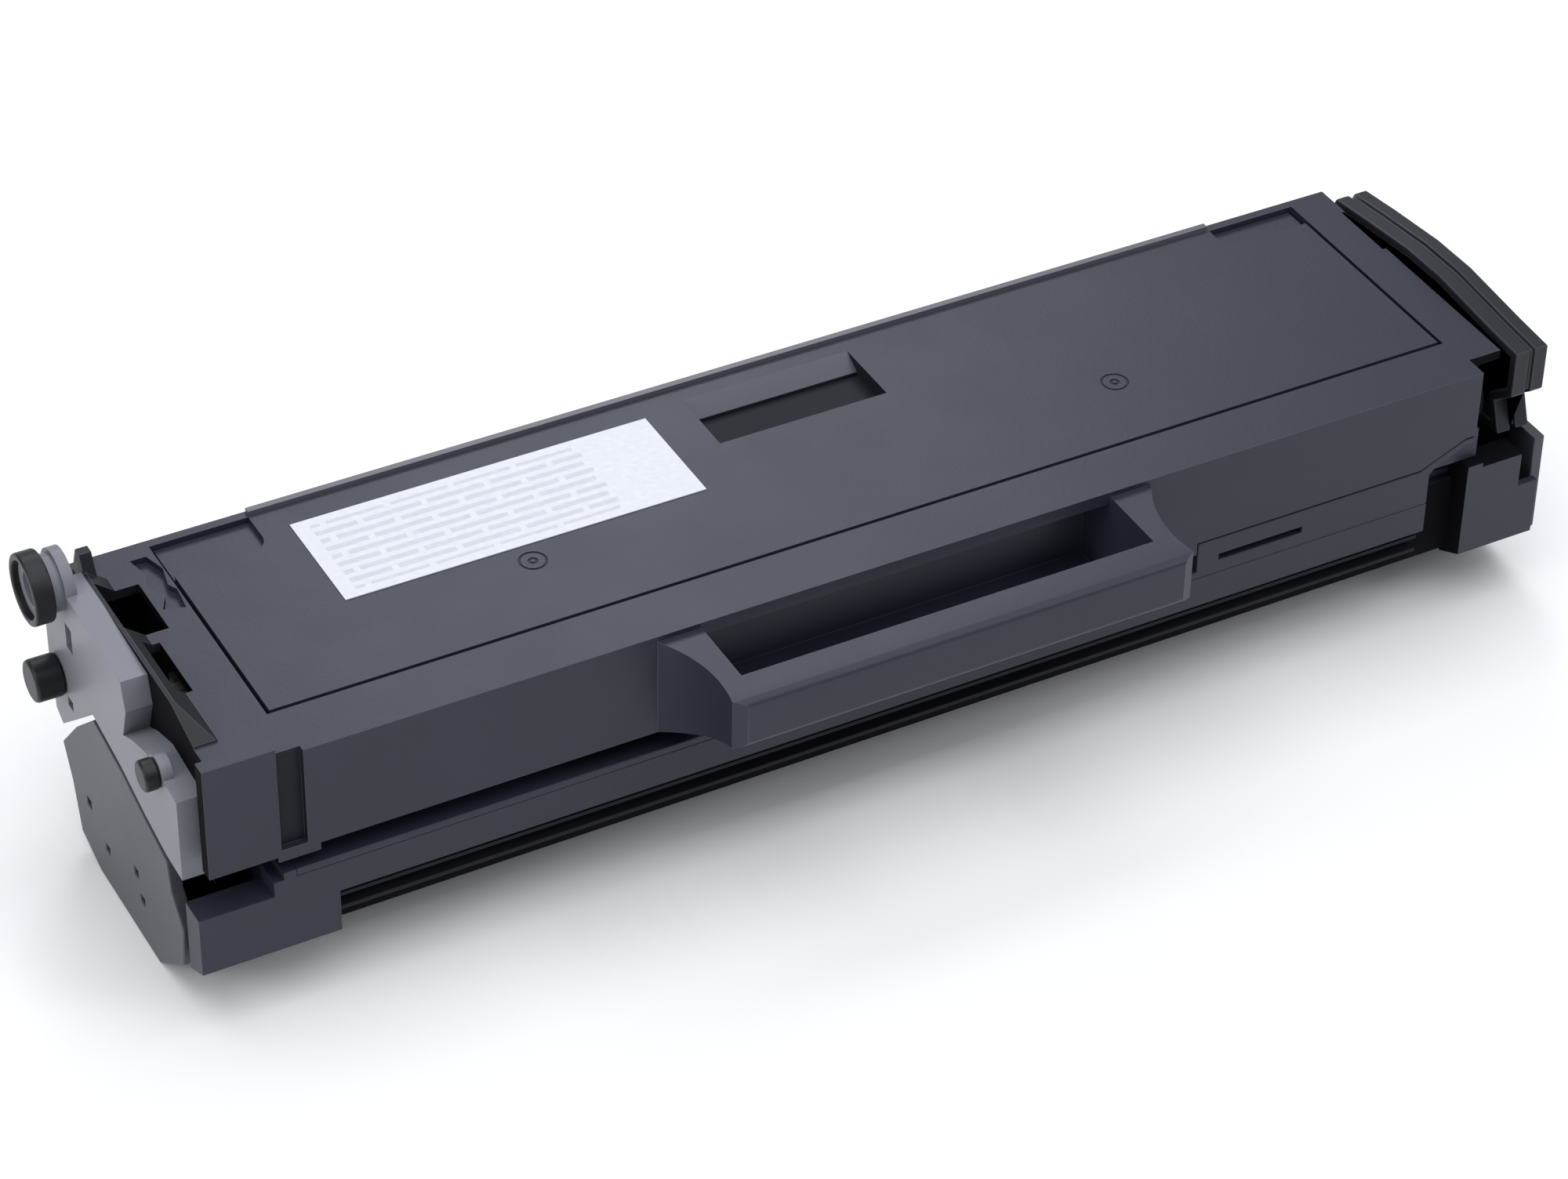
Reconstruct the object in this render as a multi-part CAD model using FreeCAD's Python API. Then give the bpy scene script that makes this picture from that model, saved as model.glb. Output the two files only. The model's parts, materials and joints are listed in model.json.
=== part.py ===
# All-in-one toner cartridge: a toner hopper with its developer rollers above a drum and waste frame.
import FreeCAD, Part
import math
import os

V = FreeCAD.Vector

# Driving dimensions in mm. X runs along the cartridge from the gear end, Y from front to back, Z up.
# The shapes are drawn from the front left corner of the hopper. They are moved at the end, so that
# the origin is the centre of the underside.
body_length = 285.2
body_depth = 68.4
deck_height = 52.2
seam_height = 30.0
rest_height = -6.0
wall = 2.0
thin_wall = 1.6
gear_room = 14.0
plate_thickness = 2.2
side_plate_thickness = 2.5
running_gap = 0.05
plate_proud = 3.0
axle_seat = 2.2
boss_reach = 9.0
pin_reach = 8.8

# The lid panel, its groove and its recesses.
lid_thickness = 2.0
lid_front = 12.0
lid_left = 17.4
groove = 0.8
ledge = 3.0
ledge_thickness = 1.6
lip_height = 0.8
centre_recess_length = 36.0
centre_recess_left = 126.0
recess_depth = 3.0
corner_recess_length = 20.0
corner_radius = 4.0
label_length = 73.8
label_width = 25.3
label_left = 43.0
label_thickness = 0.2
plug_y = 12.5
plug_radius = 6.95

# The handle in front of the deck.
handle_drop = 1.2
handle_reach = 22.8
handle_gap = 15.3
handle_height = 10.0
handle_opening = 86.5
handle_shift = -1.85
arm_width = 10.5
waist_width = 4.6
tip_width = 5.0
pocket_depth = 9.0

# The drum and the rollers around it.
drum_radius = 12.0
drum_wall = 0.8
drum_z = 10.5
drum_start = 22.0
axle_radius = 3.0
module = 0.8
drum_teeth = 30
developer_teeth = 18
supply_teeth = 15
idler_teeth = 14
agitator_teeth = 22
tooth_backlash = 0.16
gear_start = 5.0
gear_width = 5.0
nip_gap = 0.3
developer_angle = 55.0
supply_angle = 149.0
charge_angle = 160.0
charge_radius = 4.25
charge_slot = 6.7
charge_block = 2.9
spring_radius = 1.9
spring_wire = 0.35
spring_turns = 3
spring_steps = 8
shaft_radius = 2.5
developer_bush = 3.8
supply_bush = 3.4
thin_shaft_radius = 2.0
film_thickness = 0.3
blade_thickness = 0.25
print_start = 30.0
holder_height = 8.0

# The two ends: the cap at the right, the pan over the gears and the guides on it at the left.
cap_start = 277.7
cap_seam = 1.5
cap_wall = 2.0
notch_start = 268.8
notch_depth = 5.0
boss_y = 61.5
boss_z = 54.8
boss_radius = 7.0
boss_width = 4.0
pin_radius = 4.2
pin_y = 63.5
pin_z = 32.0
locating_radius = 3.0
locating_y = 14.8
locating_z = 44.6
locating_reach = 6.0

# Places that follow from the driving dimensions.
left_wall = gear_room
right_wall = body_length - gear_room
inner_left = left_wall + wall
inner_right = right_wall - wall
plate_left = plate_thickness
plate_right = body_length - plate_thickness
gear_end = gear_start + gear_width
developer_distance = module * (drum_teeth + developer_teeth) / 2
developer_radius = developer_distance - drum_radius - nip_gap
supply_distance = module * (developer_teeth + supply_teeth) / 2
supply_radius = supply_distance - developer_radius - nip_gap
charge_distance = drum_radius + charge_radius + nip_gap
cover_bottom = seam_height - 6.0
cover_top = cover_bottom + thin_wall
lid_back = body_depth - 2.0
lid_right = body_length - 17.7
centre_recess_front = lid_back - 19.4
corner_recess_front = lid_back - 10.4
label_front = lid_back - 31.1
handle_left = body_length / 2 + handle_shift - handle_opening / 2
handle_right = handle_left + handle_opening
drum_y = body_depth - 22.4
drum_end = body_length - drum_start - 0.2
print_end = body_length - print_start - 0.2
agitator_y = 0.395 * body_depth
agitator_z = deck_height - 12.2
plug_z = deck_height - 11.2
lip_start = handle_right + 21.0
face_seam = seam_height + 2.4
cavity_start = body_length - 26.6
cavity_end = body_length - 17.2
roof_end = cap_start - cap_seam


def polar(y, z, distance, degrees):
    """Point at a distance and an angle from another one, in the YZ plane."""
    a = math.radians(degrees)
    return y + distance * math.cos(a), z + distance * math.sin(a)


developer_y, developer_z = polar(drum_y, drum_z, developer_distance, developer_angle)
blade_level = developer_z + developer_radius + nip_gap
supply_y, supply_z = polar(developer_y, developer_z, supply_distance, supply_angle)
charge_y, charge_z = polar(drum_y, drum_z, charge_distance, charge_angle)


def idler_place():
    """Centre of the idler, from its distances to the supply and agitator gears."""
    r1 = module * (supply_teeth + idler_teeth) / 2
    r2 = module * (agitator_teeth + idler_teeth) / 2
    dy, dz = agitator_y - supply_y, agitator_z - supply_z
    d = math.hypot(dy, dz)
    along = (r1 * r1 - r2 * r2 + d * d) / (2 * d)
    off = math.sqrt(r1 * r1 - along * along)
    return supply_y + (along * dy - off * dz) / d, supply_z + (along * dz + off * dy) / d


idler_y, idler_z = idler_place()

# Basic shapes.


def box(x0, x1, y0, y1, z0, z1):
    return Part.makeBox(x1 - x0, y1 - y0, z1 - z0, V(x0, y0, z0))


def rod(x0, x1, y, z, radius):
    return Part.makeCylinder(radius, x1 - x0, V(x0, y, z), V(1, 0, 0))


def tube(x0, x1, y, z, outer, inner):
    return rod(x0, x1, y, z, outer).cut(rod(x0, x1, y, z, inner))


def turned(x0, x1, y, z, radius):
    """Rod with 36 flats, for the small turned steps that need few faces."""
    return prism(x0, x1, [polar(y, z, radius, 10 * i) for i in range(36)])


def prism(x0, x1, outline):
    """Solid along X with an outline of (y, z) points."""
    points = [V(x0, y, z) for y, z in outline]
    face = Part.Face(Part.makePolygon(points + points[:1]))
    return face.extrude(V(x1 - x0, 0, 0))


def slab(z0, z1, outline):
    """Solid along Z with an outline of (x, y) points."""
    points = [V(x, y, z0) for x, y in outline]
    face = Part.Face(Part.makePolygon(points + points[:1]))
    return face.extrude(V(0, 0, z1 - z0))


def bent_strip(x0, x1, path, thickness):
    """Strip of sheet along X whose section follows an open path of (y, z) points."""
    wire = Part.makePolygon([V(x0, y, z) for y, z in path])
    return wire.makeOffset2D(thickness, 2, True, True).extrude(V(x1 - x0, 0, 0))


def fused(first, *others):
    return first.fuse(list(others)).removeSplitter()


def mirrored(shape):
    """The same shape at the other end of the cartridge."""
    return shape.mirror(V(body_length / 2, 0, 0), V(1, 0, 0))


# Gears.


def tooth_points(teeth):
    """Radius and half angle of the three points on one flank, foot to tip, on an involute."""
    pitch = module * teeth / 2
    pressure = math.radians(20)
    base = pitch * math.cos(pressure)
    half = (math.pi * module / 2 - tooth_backlash) / 2 / pitch

    def half_angle(radius):
        a = math.acos(min(1.0, base / radius))
        return half + (math.tan(pressure) - pressure) - (math.tan(a) - a)

    foot, tip = pitch - 1.25 * module, pitch + module
    low = max(base, foot)
    return [(foot, half_angle(low)), (pitch, half_angle(pitch)), (tip, half_angle(tip))]


def gear(x0, x1, y, z, teeth, tooth_angle):
    """Spur gear along X with one tooth centred at tooth_angle, in radians from +Y towards +Z."""
    flank = tooth_points(teeth)
    points = []
    for i in range(teeth):
        centre = tooth_angle + 2 * math.pi * i / teeth
        sides = [(r, centre - a) for r, a in flank] + [(r, centre + a) for r, a in reversed(flank)]
        points += [V(x0, y + r * math.cos(a), z + r * math.sin(a)) for r, a in sides]
    face = Part.Face(Part.makePolygon(points + points[:1]))
    return face.extrude(V(x1 - x0, 0, 0))


def meshing_angle(from_y, from_z, from_teeth, from_angle, to_y, to_z, to_teeth):
    """Angle of one tooth of a gear that is in mesh with another gear at rest."""
    line = math.atan2(to_z - from_z, to_y - from_y)
    return line + math.pi + math.pi / to_teeth - (from_angle - line) * from_teeth / to_teeth


drum_tooth = math.radians(developer_angle)
developer_tooth = meshing_angle(drum_y, drum_z, drum_teeth, drum_tooth,
                                developer_y, developer_z, developer_teeth)
supply_tooth = meshing_angle(developer_y, developer_z, developer_teeth, developer_tooth,
                             supply_y, supply_z, supply_teeth)
idler_tooth = meshing_angle(supply_y, supply_z, supply_teeth, supply_tooth,
                            idler_y, idler_z, idler_teeth)
agitator_tooth = meshing_angle(idler_y, idler_z, idler_teeth, idler_tooth,
                               agitator_y, agitator_z, agitator_teeth)

# Upper unit: the hopper moulding.


def trough_point(degrees, clearance):
    return polar(supply_y, supply_z, supply_radius + clearance, degrees)


def hopper_section(clearance, top, back, floor, front):
    """Outline of the hopper in the YZ plane; the trough under the supply roller is an arc."""
    start = trough_point(205, clearance)
    middle = trough_point(240, clearance)
    end = trough_point(282, clearance)
    rear_low = (back, developer_z + 3.5)
    x = 0.0
    edges = [Part.makeLine(V(x, front, top), V(x, front, floor)),
             Part.makeLine(V(x, front, floor), V(x, start[0] - 2.0, floor)),
             Part.makeLine(V(x, start[0] - 2.0, floor), V(x, start[0], start[1])),
             Part.Arc(V(x, *start), V(x, *middle), V(x, *end)).toShape(),
             Part.makeLine(V(x, *end), V(x, *rear_low)),
             Part.makeLine(V(x, *rear_low), V(x, back, top)),
             Part.makeLine(V(x, back, top), V(x, front, top))]
    return Part.Face(Part.Wire(edges))


def along(face, x0, x1):
    moved = face.copy()
    moved.translate(V(x0, 0, 0))
    return moved.extrude(V(x1 - x0, 0, 0))


def handle_outline(inset):
    """Plan of the handle's outer edge, from the deck edge round the bar and back."""
    half = (handle_right - handle_left) / 2
    middle = (handle_right + handle_left) / 2
    root = half + arm_width - inset
    waist = half + waist_width - inset
    tip = half + tip_width - inset
    front = -handle_reach + inset
    left_arm = Part.Arc(V(middle - root, wall, 0), V(middle - waist, front / 2, 0),
                        V(middle - tip, front + 1.5, 0)).toShape()
    right_arm = Part.Arc(V(middle + tip, front + 1.5, 0), V(middle + waist, front / 2, 0),
                         V(middle + root, wall, 0)).toShape()
    edges = [left_arm,
             Part.makeLine(V(middle - tip, front + 1.5, 0), V(middle - tip + 2.5, front, 0)),
             Part.makeLine(V(middle - tip + 2.5, front, 0), V(middle + tip - 2.5, front, 0)),
             Part.makeLine(V(middle + tip - 2.5, front, 0), V(middle + tip, front + 1.5, 0)),
             right_arm,
             Part.makeLine(V(middle + root, wall, 0), V(middle - root, wall, 0))]
    return Part.Face(Part.Wire(edges))


def handle():
    """Bar and two arms that deepen towards the hopper, hollow from below, round the finger gap."""
    top = deck_height - handle_drop
    low = top - handle_height
    outer = handle_outline(0)
    outer.translate(V(0, 0, seam_height))
    bar = outer.extrude(V(0, 0, top - seam_height))
    hollow = handle_outline(wall)
    hollow.translate(V(0, 0, seam_height - 1))
    bar = bar.cut(hollow.extrude(V(0, 0, top - wall - seam_height + 1)))
    well_wall = box(handle_left - wall, handle_right + wall, -handle_gap - wall, 0,
                    seam_height, top - 0.5)
    well = box(handle_left, handle_right, -handle_gap, wall + 1, seam_height - 1, top + 5)
    underside = prism(handle_left - 2 * arm_width, handle_right + 2 * arm_width,
                      [(-handle_reach - 1, seam_height - 1), (-handle_reach - 1, low),
                       (-handle_reach, low), (0, seam_height), (0, seam_height - 1)])
    bar = bar.fuse(well_wall).cut([well, underside])
    long_edges = [e for e in bar.Edges if abs(e.CenterOfMass.y + handle_reach) < 0.01
                  and e.Length > 20]
    return bar.makeFillet(1.5, long_edges)


def hopper_body():
    outer = along(hopper_section(thin_wall + 0.6, deck_height, body_depth, seam_height, 0),
                  left_wall, right_wall)
    cavity_top = deck_height - lid_thickness - ledge_thickness
    cavity = along(hopper_section(0.6, cavity_top, body_depth - wall, seam_height + wall, wall),
                   inner_left, inner_right)
    roof_left = box(plate_left, left_wall, 0, body_depth, deck_height - wall, deck_height)
    rear_left = box(plate_left, left_wall, body_depth - thin_wall, body_depth,
                    drum_z + 12, deck_height)
    skirt = box(plate_left, plate_left + 1.0, 2, 34, seam_height + 4, deck_height)
    front_left = box(0, left_wall, 0, wall + 1, seam_height - 0.4, deck_height + 2)
    front_ledge = box(left_wall - 0.8, left_wall + 7.4, 0, wall, seam_height - 1.6, seam_height + 1)
    tab = prism(plate_left + 0.2, plate_left + 2.6,
                [(body_depth - 10, deck_height - 1), (body_depth - 6.4, deck_height + 6.4),
                 (body_depth - 4.4, deck_height + 6.4), (body_depth - 1.6, deck_height - 1)])
    roof_right = box(right_wall, roof_end, 0, body_depth, deck_height - wall, deck_height)
    rear_right = box(right_wall, roof_end, body_depth - thin_wall, body_depth,
                     drum_z + 12, deck_height)
    lip = box(lid_left + corner_recess_length, lid_right - corner_recess_length,
              lid_back + 0.6, body_depth, deck_height - 1, deck_height + lip_height)
    pocket = box(handle_left - wall, handle_right + wall, 0, pocket_depth + wall,
                 seam_height, deck_height)
    seam_rib = box(lip_start, right_wall, wall, wall + 2.5, seam_height, seam_height + 10)
    corner = box(notch_start - 2.5, right_wall, 0, notch_depth + wall, seam_height + 4,
                 deck_height - lid_thickness)
    body = outer.cut(cavity)
    body = fused(body, roof_left, rear_left, skirt, front_left, front_ledge, tab, roof_right,
                 rear_right, lip, slab_rim(), handle(), pocket.common(outer), seam_rib, corner,
                 developer_ear(left_wall, inner_left), developer_ear(inner_right, right_wall))
    cuts = [box(lid_left, lid_right, lid_front, lid_back + 0.1,
                deck_height - lid_thickness, deck_height + 5),
            box(lid_left + ledge, lid_right - ledge, lid_front + ledge, lid_back - ledge,
                cavity_top - 1, deck_height),
            box(handle_left, handle_right, -1, pocket_depth, seam_height + wall,
                deck_height - handle_drop - 1.5),
            rod(inner_left, inner_right, developer_y, developer_z, developer_radius + 0.7),
            prism(inner_left, inner_right,
                  [(developer_y - 7.4, developer_z), (developer_y - 7.0, developer_z - 12),
                   (body_depth + 1, developer_z - 12), (body_depth + 1, developer_z + 2.5),
                   (developer_y + 7.4, developer_z + 2.5)]),
            lower_face(),
            box(notch_start, roof_end + 1, -1, notch_depth, face_seam + 4.4, deck_height + 1),
            box(3.0, 11.5, body_depth - 25.9, body_depth - 11.4, deck_height - wall - 1,
                deck_height + 5),
            box(5.0, 8.4, body_depth - 44.4, body_depth - 29.0, deck_height - wall - 1,
                deck_height + 5),
            box(body_length - 9.8, roof_end + 1, body_depth - 23.4, body_depth - 8.4,
                deck_height - wall - 1, deck_height + 1),
            torn_edge(),
            box(left_wall - 0.1, left_wall + 5, -1, 1.4, seam_height + 1, deck_height + 5)]
    for y, z, half in ((developer_y, developer_z, developer_bush), (supply_y, supply_z, supply_bush)):
        for x0, x1 in ((left_wall - 1, inner_left + 1), (inner_right - 1, right_wall + 1)):
            cuts.append(box(x0, x1, y - half, y + half, z - half, z + half))
    bore = thin_shaft_radius + running_gap
    cuts.append(rod(left_wall - 1, inner_left + 1, agitator_y, agitator_z, bore))
    cuts.append(rod(inner_right - 1, inner_right + wall - 0.5, agitator_y, agitator_z, bore))
    cuts.append(rod(inner_right - 1, right_wall + 1, plug_y, plug_z, plug_radius + running_gap))
    body = body.cut(cuts)
    post = rod(gear_start - 1.0, left_wall + 0.5, idler_y, idler_z, thin_shaft_radius)
    return fused(body, post)


def lower_face():
    """Step along the lower front edge, rising to the notch at the right end, for the cover's lip."""
    face = Part.Face(Part.makePolygon([V(x, -1, z) for x, z in (
        (lip_start - 0.3, seam_height - 1), (lip_start - 0.3, face_seam + 0.4),
        (body_length - 28.9, face_seam + 0.4), (body_length - 25.8, face_seam + 1.8),
        (body_length - 18.8, face_seam + 4.8), (right_wall + 1, face_seam + 4.8),
        (right_wall + 1, seam_height - 1), (lip_start - 0.3, seam_height - 1))]))
    return face.extrude(V(0, wall + 1.3, 0))


def torn_edge():
    """Shallow stepped hollow in the deck's left margin, beside the lid."""
    back = body_depth
    return slab(deck_height - 1.4, deck_height + 1,
                [(left_wall - 1.4, back - 20.4), (left_wall + 2.6, back - 21.6),
                 (left_wall + 3.2, back - 16), (left_wall + 2.2, back - 14),
                 (left_wall + 3.2, back - 9), (left_wall + 1.8, back - 4.4),
                 (left_wall - 1.4, back - 4.4), (left_wall - 0.4, back - 9),
                 (left_wall - 1.4, back - 13), (left_wall + 0.4, back - 17)])


def developer_ear(x0, x1):
    """End wall's lobe round the developer roller's bearing."""
    lobe = rod(x0, x1, developer_y, developer_z, developer_radius - 0.5)
    web = prism(x0, x1, [(supply_y, seam_height + wall), (supply_y, supply_z - supply_radius - 2.2),
                         (developer_y - 3, developer_z - 3), (body_depth - wall, developer_z + 3.5),
                         (body_depth - wall, seam_height + wall)])
    return fused(lobe, web)


def slab_rim():
    """Raised rim along the deck's left edge, sloping down to the deck."""
    profile = [V(plate_left, 9, deck_height - wall), V(plate_left, 9, deck_height + 3.2),
               V(plate_left + 0.8, 9, deck_height + 3.2), V(7.0, 9, deck_height),
               V(7.0, 9, deck_height - wall)]
    face = Part.Face(Part.makePolygon(profile + profile[:1]))
    return face.extrude(V(0, body_depth - 16.4, 0))


def hopper_lid():
    panel = box(lid_left + groove, lid_right - groove, lid_front + groove, lid_back,
                deck_height - lid_thickness, deck_height)
    x0, x1 = centre_recess_left, centre_recess_left + centre_recess_length
    pan = box(x0 - thin_wall, x1 + thin_wall, centre_recess_front - thin_wall, lid_back - ledge - 0.4,
              deck_height - recess_depth - thin_wall, deck_height - lid_thickness)
    dish = prism(x0, x1, [(centre_recess_front, deck_height + 1),
                          (centre_recess_front + 1.0, deck_height - recess_depth),
                          (lid_back - ledge - 5.0, deck_height - recess_depth),
                          (lid_back - ledge - 1.5, deck_height + 1)])
    left = corner_recess(lid_left + groove - 1, corner_recess_front)
    right = corner_recess(lid_right - groove + 1 - corner_recess_length, corner_recess_front + 4)
    return fused(panel, pan).cut([dish, left, right])


def corner_recess(x, front):
    """Low step in a back corner of the lid, with a rounded inner corner."""
    step = box(x, x + corner_recess_length, front, lid_back + 1, deck_height - 1.2, deck_height + 1)
    inner = [e for e in step.Edges if abs(e.CenterOfMass.y - front) < 0.01 and e.Length < 3
             and abs(e.CenterOfMass.x - body_length / 2) < body_length / 2 - 20
             and abs(e.CenterOfMass.z - deck_height + 0.1) < 0.01]
    return step.makeFillet(corner_radius, inner)


def label():
    return box(label_left, label_left + label_length, label_front, label_front + label_width,
               deck_height, deck_height + label_thickness)


def fill_plug():
    """Press-in cap that closes the filling hole in the right wall of the hopper."""
    cap = rod(right_wall, right_wall + thin_wall, plug_y, plug_z, plug_radius + 1.6)
    skirt = rod(inner_right, right_wall, plug_y, plug_z, plug_radius)
    grip = box(right_wall + thin_wall, right_wall + 3.6, plug_y - 4, plug_y + 4,
               plug_z - 0.8, plug_z + 0.8)
    return fused(cap, skirt, grip)


# Upper unit: doctor blade, seals, bushings and rollers.


def doctor_holder():
    """Folded steel angle that clamps the doctor blade behind the developer roller."""
    y = body_depth - wall
    low = blade_level + blade_thickness
    return bent_strip(inner_left + 15, inner_right - 15,
                      [(y - 5.5, low), (y, low), (y, low + holder_height)], -1.2)


def doctor_blade():
    y0 = developer_y - 1.0
    return box(inner_left + 15, inner_right - 15, y0, y0 + 7.5,
               blade_level, blade_level + blade_thickness)


def doctor_screws():
    """Pan-head screws through the blade holder into the rear wall."""
    y = body_depth - wall - 1.2
    z = blade_level + holder_height / 2 + 1
    screws = []
    for x in (inner_left + 25, body_length / 2, inner_right - 25):
        corners = [V(x + 2.2 * math.cos(math.radians(30 * i)), y,
                     z + 2.2 * math.sin(math.radians(30 * i))) for i in range(13)]
        screws.append(Part.Face(Part.makePolygon(corners)).extrude(V(0, -1.4, 0)))
    return Part.makeCompound(screws)


def developer_seal():
    """Felt half ring that closes the end of the hopper's mouth round the developer shaft."""
    ring = tube(inner_left + 1, print_start - 0.6, developer_y, developer_z,
                developer_radius + 0.6, shaft_radius + nip_gap)
    return ring.cut(box(0, print_start, 0, body_depth, rest_height, developer_z))


def supply_parts():
    shaft = rod(gear_start - 1.5, right_wall + 1.5, supply_y, supply_z, shaft_radius)
    foam = tube(print_start + 3, print_end - 3, supply_y, supply_z, supply_radius, shaft_radius)
    return shaft, foam


def bushing(y, z, half):
    """Square plain bush that can't turn in the left end wall."""
    block = box(left_wall - 1.0, inner_left, y - half, y + half, z - half, z + half)
    return block.cut(rod(left_wall - 2, inner_left + 2, y, z, shaft_radius + running_gap))


def wheel(x0, x1, y, z, teeth, tooth, bore):
    """Gear with a hub and a bore for its shaft."""
    blank = gear(x0, x1, y, z, teeth, tooth)
    return blank.cut(rod(x0 - 1, x1 + 1, y, z, bore))


def agitator_shaft():
    shaft = rod(gear_start - 1.5, inner_right + wall - 0.7, agitator_y, agitator_z,
                thin_shaft_radius)
    flat = box(inner_left + 6, inner_right - 6, agitator_y - 1.2, agitator_y + 1.2,
               agitator_z - 3.2, agitator_z - 1)
    return fused(shaft, flat)


def agitator_film():
    return box(inner_left + 8, inner_right - 8, agitator_y + 1.2, agitator_y + 1.2 + film_thickness,
               agitator_z - 7.8, agitator_z - 1.9)


# Lower unit: the drum frame.

left_outline = [(8.5, 3.8), (7.4, 13.2), (12.0, 18.8), (13.2, 25.0), (22.5, 27.5), (33.7, 30.8),
                (drum_y + 0.6, 33.1), (drum_y + 11.3, 23.6), (drum_y + 19.4, 14.5),
                (drum_y + 15.7, 7.2), (drum_y + 13.0, -3.0), (drum_y + 4.0, rest_height),
                (21.3, rest_height)]
right_outline = [(8.5, 3.8), (2.3, 6.8), (2.5, 29.2), (7.0, 29.2), (22.5, 29.0), (33.7, 30.8),
                 (drum_y + 0.6, 33.1), (drum_y + 11.3, 23.6), (drum_y + 19.4, 14.5),
                 (drum_y + 15.7, 7.2), (drum_y + 13.0, -3.0), (drum_y + 4.0, rest_height),
                 (21.3, rest_height)]


def end_wall(x0, x1):
    """Wall across the frame that stands on the rest face at its back foot."""
    outline = [(0, cover_top), (0, 8.0), (8.5, 3.8), (21.3, rest_height),
               (drum_y - 12, rest_height), (drum_y - 10, -3.5), (drum_y + 4, -3.5),
               (drum_y + 6, rest_height), (drum_y + 12, rest_height), (drum_y + 14.5, 8.8),
               (drum_y + 17, 14), (drum_y + 14, 17.0), (drum_y + 4, 22.5),
               (drum_y - 4, min(24.2, seam_height - 1)), (drum_y - 10, cover_top), (14, cover_top),
               (12, seam_height), (4, seam_height), (4, cover_top)]
    return prism(x0, x1, outline).cut(
        rod(x0 - 1, x1 + 1, developer_y, developer_z, developer_radius + 0.2))


def room_floor(x0, x1):
    """Floor and rear wall of the room between an end wall and a side plate."""
    return bent_strip(x0, x1, [(0, 20.8), (0, 8.0), (8.5, 3.8), (21.3, rest_height),
                               (drum_y + 4, rest_height), (drum_y + 12.8, -3.0),
                               (drum_y + 15.5, 7.5), (drum_y + 19.2, 14.5)], -thin_wall)


def front_block(x0, x1, depth, top):
    """Solid front corner of the frame, over the slope of its underside."""
    return prism(x0, x1, [(0, top), (0, 8.0), (depth, 8.0 - depth * 4.2 / 8.5), (depth, top)])


def drum_frame():
    walls = [end_wall(left_wall, inner_left + 0.5), end_wall(inner_right - 0.5, right_wall)]
    tray = bent_strip(left_wall, right_wall,
                      [(0, cover_bottom), (0, 17.2), (5, 17.2), (5, 6.6), (8.5, 3.8),
                       (21.3, rest_height), (drum_y - 13, rest_height), (drum_y - 13, -3.0)], -wall)
    inner = bent_strip(left_wall, right_wall,
                       [(drum_y - 22.5, cover_bottom), (drum_y - 22.5, 11.0), (drum_y - 14.5, 11.0)],
                       thin_wall)
    rib_end = body_length - 20.2
    ribs = [box(25, rib_end, 2.0, 5.5, z, z + 0.9) for z in (10.8, 14.0)]
    ends = [room_floor(-0.5, left_wall), room_floor(right_wall, body_length + 0.5),
            front_block(-2.6, left_wall - 2, 6.2, 20.8),
            front_block(left_wall - 2, left_wall + 10.6, 6.2, cover_bottom),
            front_block(cavity_end, right_wall + 0.5, 6.2, seam_height - 0.4),
            front_block(right_wall + 0.5, body_length - 4.2, 6.2, seam_height + 1.4)]
    back = box(cavity_start - wall, cavity_end, 5.0, 5.0 + wall, 17.2, cover_bottom)
    side = box(cavity_start - wall, cavity_start, 0, 5.0 + wall, 17.2, cover_bottom)
    frame = fused(walls[0], walls[1], tray, inner, back, side, *ends, *ribs)
    holes = [rod(left_wall - 1, inner_left + 1, drum_y, drum_z, 8.0),
             rod(inner_right - 1, right_wall + 1, drum_y, drum_z, 8.0),
             box(cavity_start, cavity_end, -1, 5.0, 10.0, cover_bottom + 1)]
    for x0, x1 in ((left_wall - 1, inner_left + 1), (inner_right - 1, right_wall + 1)):
        holes.append(box(x0, x1, charge_y - charge_slot, charge_y + charge_block + 0.1,
                         charge_z - charge_block - 0.1, charge_z + charge_block + 0.1))
    return frame.cut(holes)


def waste_cover():
    """Lid of the waste bin, with a lip that runs up the seam and ends as a thin strip."""
    x0, x1 = inner_left + 0.5, inner_right - 0.5
    sheet = box(x0, x1, 0, drum_y - 19.0, cover_bottom, cover_top)
    rise = body_length - 28.9
    lip = Part.Face(Part.makePolygon([V(x, 0, z) for x, z in (
        (lip_start, cover_bottom), (lip_start, face_seam), (rise, face_seam),
        (rise + 2.9, face_seam + 1.4), (rise + 10.1, face_seam + 4.4), (x1, face_seam + 4.4),
        (x1, face_seam + 3.0), (rise + 10.4, face_seam + 3.0), (rise + 3.7, face_seam),
        (cavity_start, face_seam - 1.4), (cavity_start, cover_bottom), (lip_start, cover_bottom))]))
    slot = box(body_length - 75.2, body_length - 56.2, -1, wall + 1, cover_top + 1.4, cover_top + 2.9)
    notch = box(cavity_start, x1 + 1, -1, 6.5, cover_bottom - 1, cover_top + 0.1)
    return fused(sheet.cut(notch), lip.extrude(V(0, wall, 0))).cut(slot)


def left_side_plate():
    plate = prism(-plate_proud, side_plate_thickness - plate_proud, left_outline)
    holes = [rod(-axle_seat, 0, drum_y, drum_z, axle_radius)]
    for y, z in ((drum_y + 7.4, 8.3), (drum_y - 1, 3.4), (30.2, 9.1), (27.9, 4.2)):
        holes.append(box(-plate_proud - 1, 0, y - 0.9, y + 0.9, z - 0.9, z + 0.9))
    return plate.cut(holes)


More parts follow.
